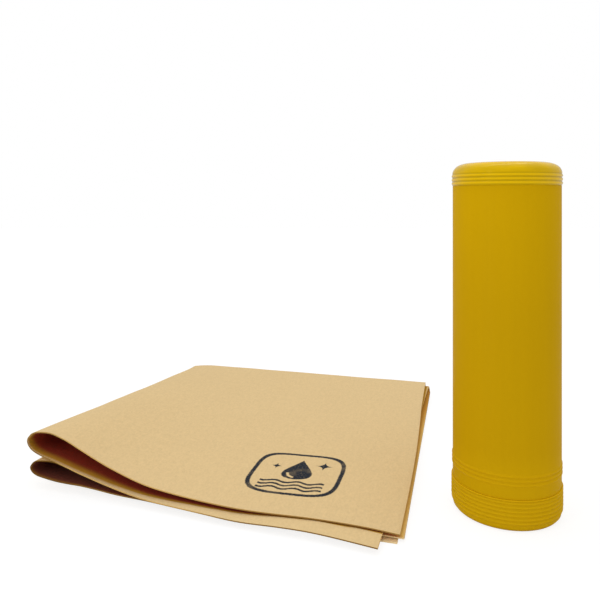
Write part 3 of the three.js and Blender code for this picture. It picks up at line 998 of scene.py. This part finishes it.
def painted_edge_shades(cloth, shares, outer, inner):
    """Painted shade of each cut edge, and of the third layer where it shows past the others.
    Where light of the floor is painted at the front right corner, it falls to -1."""
    middle = len(outer) // 2
    ends = np.maximum(ramp_up(shares, *NEAR_LOOP), 1 - ramp_up(shares, *NEAR_CORNER))
    shades = [np.zeros(half.shape[:2]) for half in (outer, inner)]
    # Painted shade on the third layer where it shows past the top layer
    left, behind = inner[middle:, :, 0], inner[middle:, :, 1] / cloth.depth
    inset = ramp_up((left - left[:, :1]) / cloth.third_past, 0, 1)
    least = SIDE_BEHIND_SHADES[0] + SIDE_BEHIND_SHADES[1] * ramp_up(behind, *SIDE_BEHIND)
    ahead = SIDE_AHEAD_SHADE + (1 - SIDE_AHEAD_SHADE) * ramp_up(behind, *SIDE_AHEAD)
    shade = (least + (1 - least) * inset) * ahead
    shades[1][middle:] = shade * (1 - ramp_up(left, *SIDE_WIDTH))
    # Painted light at the front right corner, on the bottom layer
    left, behind = outer[middle:, :, 0], outer[middle:, :, 1]
    painted_light = ramp_up(left, *PAINTED_LIGHT_REACH) - 1 + ramp_up(behind, *PAINTED_LIGHT_REACH)
    shades[0][middle:] = np.clip(painted_light, -1, 0)
    # Painted shade on the front cut edges, with painted light where the lower edge nears the corner
    for shade, upper in zip(shades, UPPER_EDGE_SHADES):
        shade[0] = upper * ends
        lower = LOWER_EDGE_SHADES[0] + LOWER_EDGE_SHADES[1] * ends
        shade[-1] = ramp_up(shares, *COVERED) * lower - 1
    return shades


def folded_sheet(cloth):
    """Every place on the folded sheet's middle surface, as rows of columns of (x, y, z), with its
    depth inside a fold for painted shade, and its painted edge shade and light."""
    even = np.linspace(0, 1, HALF_COLUMNS + 1)
    shares = 1 - (1 - even) ** COLUMN_CROWDING
    outer, inner = half_sheet(cloth, shares, True), half_sheet(cloth, shares, False)
    depth, shade = [
        np.hstack([first, second[:, -2::-1]]) for first, second in (
            painted_fold_shades(cloth, shares, outer, inner), painted_edge_shades(cloth, shares, outer, inner),
        )
    ]
    left, behind, up = np.hstack([outer, inner[:, -2::-1]]).transpose(2, 0, 1)
    axis_x, axis_y = tube_axis()
    x = axis_x + cloth.from_tube[0] + left * math.cos(cloth.front_angle)
    x += behind * math.cos(cloth.side_angle)
    y = axis_y + cloth.from_tube[1] + left * math.sin(cloth.front_angle)
    y += behind * math.sin(cloth.side_angle)
    places = np.stack([x, y, up], axis=2)
    for place in places.reshape(-1, 3):
        plan = Vector((place[0], place[1], 0)) / cloth.wave_span
        wave = noise.noise(plan) + FINE_WAVE * noise.noise(plan * FINER)
        place[2] += wave * cloth.wave_rise * min(place[2] - cloth.thickness / 2, cloth.wave_cap)
    return places, depth, shade


def run_lengths(places, axis):
    """Distance along the sheet from its edge, for each place."""
    steps = np.linalg.norm(np.diff(places, axis=axis), axis=2)
    runs = np.cumsum(steps, axis=axis)
    return np.insert(runs, 0, 0, axis=axis)


def make_cloth(cloth):
    places, depth, shade = folded_sheet(cloth)
    rows, columns = places.shape[:2]
    bpy.ops.mesh.primitive_grid_add(
        x_subdivisions=columns - 1, y_subdivisions=rows - 1, size=1, location=(0, 0, 0),
    )
    piece = added("folded_chamois")
    mesh = piece.data
    flat = np.empty(len(mesh.vertices) * 3)
    mesh.vertices.foreach_get("co", flat)
    flat = flat.reshape(-1, 3) + 0.5
    column = np.rint(flat[:, 0] * (columns - 1)).astype(int)
    row = np.rint(flat[:, 1] * (rows - 1)).astype(int)
    if len(set(zip(row, column))) != rows * columns:
        raise RuntimeError("the sheet's grid has other rows and columns than its folds")
    mesh.vertices.foreach_set("co", places[row, column].ravel())
    across, along = run_lengths(places, 1), run_lengths(places, 0)
    corners = np.empty(len(mesh.loops), dtype=int)
    mesh.loops.foreach_get("vertex_index", corners)
    on_sheet = np.stack([across[row, column][corners], along[row, column][corners]], axis=1)
    mesh.uv_layers[0].name = "sheet"
    mesh.uv_layers[0].uv.foreach_set("vector", on_sheet.ravel())
    for name, values in (("painted_fold_shade", depth), ("painted_edge_shade_and_light", shade)):
        attribute = mesh.attributes.new(name, "FLOAT", "POINT")
        attribute.data.foreach_set("value", values[row, column])
    mesh.update()
    # The first faces lie in the top layer, which shows its face
    if sum(face.normal.z for face in mesh.polygons[:columns // 3]) < 0:
        mesh.flip_normals()
    for material in (
        chamois_material(
            "Chamois face", cloth.face_colour, cloth, FACE_MOTTLING, (
                # Painted shade on the third layer's side strip
                ("painted_edge_shade_and_light", 0, 0.2, cloth.painted_side_shade),
                ("painted_edge_shade_and_light", 0.2, 1, cloth.painted_side_dark_shade),
            ), marked=True,
        ),
        chamois_material("Chamois reverse", cloth.reverse_colour, cloth, FACE_MOTTLING, (
            # Painted shade inside the folds, and painted light at the front corner
            ("painted_fold_shade", 0, 0.25, cloth.painted_mouth_shade),
            ("painted_fold_shade", 0.3, 1, cloth.painted_deep_shade),
            ("painted_fold_shade", 1, 1.5, cloth.painted_roof_shade),
            ("painted_fold_shade", 0, -0.25, cloth.painted_low_shade),
            ("painted_fold_shade", -0.3, -1, cloth.painted_dark_shade),
            ("painted_edge_shade_and_light", 0, -1, cloth.painted_corner_light),
        )),
        chamois_material("Chamois cut edge", cloth.cut_colour, cloth, CUT_MOTTLING, (
            # Painted shade near the cut edges' ends, and painted light at the front corner
            ("painted_edge_shade_and_light", 0, 0.75, cloth.painted_cut_shade),
            ("painted_edge_shade_and_light", 0, -1, cloth.painted_corner_light),
        )),
    ):
        mesh.materials.append(material)
    apply_modifier(
        piece, "SOLIDIFY", thickness=cloth.thickness, offset=0, use_even_offset=True,
        material_offset=REVERSE, material_offset_rim=CUT_EDGE,
    )
    round_edges(piece, cloth.thickness / CUT_ROUNDING, CLOTH_ANGLE, material=CUT_EDGE)
    smooth_active()
    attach(piece, FIXED_BODY)
    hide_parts("cloth")


# Stage: floor, surroundings, lamps and camera


def make_floor(stage):
    bpy.ops.mesh.primitive_plane_add(size=stage.floor_size, location=(0, 0, 0))
    floor = added("floor")
    material, tree = new_material("White floor")
    plain = tree.node("BsdfDiffuse", Color=(*stage.floor_colour, 1))
    dimmed = tree.node("BsdfDiffuse", Color=(*[stage.shadow_share] * 3, 1))
    glow = tree.node("Emission", Strength=stage.floor_glow)
    bright = tree.node("AddShader")
    tree.fill(bright, (dimmed.outputs[0], glow.outputs[0]))
    tree.show(tree.by_camera(plain, bright))
    floor.data.materials.append(material)


def make_surroundings(stage):
    world = bpy.data.worlds.new("Studio")
    bpy.context.scene.world = world
    tree = fresh_tree(world)
    towards = tree.node("TexCoord").outputs["Generated"]
    height = tree.node("SeparateXYZ", Vector=towards).outputs[2]
    strength = tree.ramp(height, 0, 1, stage.low_light, stage.high_light, "LINEAR")
    soft, white = [
        tree.node("Background", Color=(1, 1, 1, 1), Strength=light)
        for light in (strength, 1.0)
    ]
    tree.show(tree.by_camera(soft, white), "OutputWorld")


def add_softbox(name, place, target, size, power):
    bpy.ops.object.light_add(type="AREA", location=place)
    lamp = added(name)
    lamp.data.shape = "RECTANGLE"
    lamp.data.size, lamp.data.size_y = size
    lamp.data.energy = power
    lamp.rotation_euler = (Vector(target) - Vector(place)).to_track_quat("-Z", "Y").to_euler()
    lamp.visible_camera = False


def make_camera(stage):
    axis_x, axis_y = tube_axis()
    place = (axis_x - stage.camera_left, axis_y - stage.camera_ahead, stage.camera_height)
    bpy.ops.object.camera_add(location=place, rotation=(math.pi / 2, 0, 0))
    camera = added("camera")
    camera.data.sensor_width = SENSOR_WIDTH
    camera.data.lens = stage.lens
    camera.data.shift_y = stage.shift
    camera.data.clip_start, camera.data.clip_end = CAMERA_RANGE
    bpy.context.scene.camera = camera


# Operators


class AddStage(bpy.types.Operator):
    """Adds the floor, the surroundings, the lamps and the camera"""

    bl_idname = "chamois.add_stage"
    bl_label = "Add Stage"

    def execute(self, context):
        stage = context.scene.chamois_stage
        make_floor(stage)
        make_surroundings(stage)
        x, y = tube_axis()
        # Each lamp has its place, the point it shines at and its width and height
        for name, place, target, size, power in (
            ("overhead_softbox", (0, -0.1, 1.3), (0, 0, 0), (1.1, 0.9), stage.softbox_power),
            ("overhead_strip", (x - 0.1, y + 0.2, 1.05), (x, y, 0.2), (1.2, 0.1),
             stage.overhead_power),
            ("left_strip", (x - 0.75, y - 0.55, 0.4), (x, y, 0.12), (0.18, 0.8),
             stage.strip_power),
        ):
            add_softbox(name, place, target, size, power)
        make_camera(stage)
        context.scene.view_settings.view_transform = "Standard"
        return {"FINISHED"}


class AddTubeBody(bpy.types.Operator):
    """Adds the plastic tube, with its ribs, neck and foot"""

    bl_idname = "chamois.add_tube_body"
    bl_label = "Add Tube Body"

    def execute(self, context):
        tube = context.scene.chamois_tube
        finish_plastic(
            make_tube_body(tube), tube, FIXED_BODY, "tube_body", "tube_plastic", "Tube plastic",
            (tube.upper_colour, tube.lower_colour, tube.painted_foot_light),
            roughness=0.4, swirl=0.25, rib_contrast=0.05, Specular_IOR_Level=0.012,
        )
        return {"FINISHED"}


class AddBaseCap(bpy.types.Operator):
    """Adds the ribbed base cap that the tube stands on"""

    bl_idname = "chamois.add_base_cap"
    bl_label = "Add Base Cap"

    def execute(self, context):
        tube = context.scene.chamois_tube
        finish_plastic(
            make_base_cap(tube), tube, FIXED_BODY, "base_cap", "tube_plastic",
            "Base cap plastic", [tube.cap_colour] * 3,
            roughness=0.38, swirl=0.3, rib_contrast=0.03, Specular_IOR_Level=0.012,
        )
        return {"FINISHED"}


class AddLid(bpy.types.Operator):
    """Adds the ribbed lid that pulls off upwards"""

    bl_idname = "chamois.add_lid"
    bl_label = "Add Lid"

    def execute(self, context):
        tube = context.scene.chamois_tube
        finish_plastic(
            make_lid(tube), tube, LID_BODY, "lid", "lid_plastic", "Lid plastic",
            [tube.lid_colour] * 3, roughness=0.1, swirl=1.0, rib_contrast=0.2,
            Specular_IOR_Level=0.22, Specular_Tint=(*tube.lid_gloss, 1),
        )
        return {"FINISHED"}


class AddCloth(bpy.types.Operator):
    """Adds the folded chamois cloth with its ink mark"""

    bl_idname = "chamois.add_cloth"
    bl_label = "Add Cloth"

    def execute(self, context):
        make_cloth(context.scene.chamois_cloth)
        return {"FINISHED"}


class ChamoisPanel(bpy.types.Panel):
    """Lists the pieces and their sizes in the 3D view's sidebar"""

    bl_idname = "VIEW3D_PT_chamois"
    bl_label = "Chamois Cloth and Tube"
    bl_space_type = "VIEW_3D"
    bl_region_type = "UI"
    bl_category = "Chamois"

    def draw(self, context):
        for operator in OPERATORS:
            self.layout.operator(operator.bl_idname)
        for place in SETTINGS:
            settings = getattr(context.scene, place)
            box = self.layout.box()
            for name in settings.__annotations__:
                box.prop(settings, name)


SETTINGS = {
    "chamois_cloth": ClothSettings, "chamois_tube": TubeSettings, "chamois_stage": StageSettings,
}
OPERATORS = (AddStage, AddCloth, AddTubeBody, AddBaseCap, AddLid)
CLASSES = (*SETTINGS.values(), *OPERATORS, ChamoisPanel)


def register():
    for kind in CLASSES:
        bpy.utils.register_class(kind)
    for place, settings in SETTINGS.items():
        setattr(bpy.types.Scene, place, PointerProperty(type=settings))


def unregister():
    for place in SETTINGS:
        delattr(bpy.types.Scene, place)
    for kind in reversed(CLASSES):
        bpy.utils.unregister_class(kind)


def main():
    register()
    bpy.ops.chamois.add_stage()
    bpy.ops.chamois.add_cloth()
    bpy.ops.chamois.add_tube_body()
    bpy.ops.chamois.add_base_cap()
    bpy.ops.chamois.add_lid()


if __name__ == "__main__":
    main()
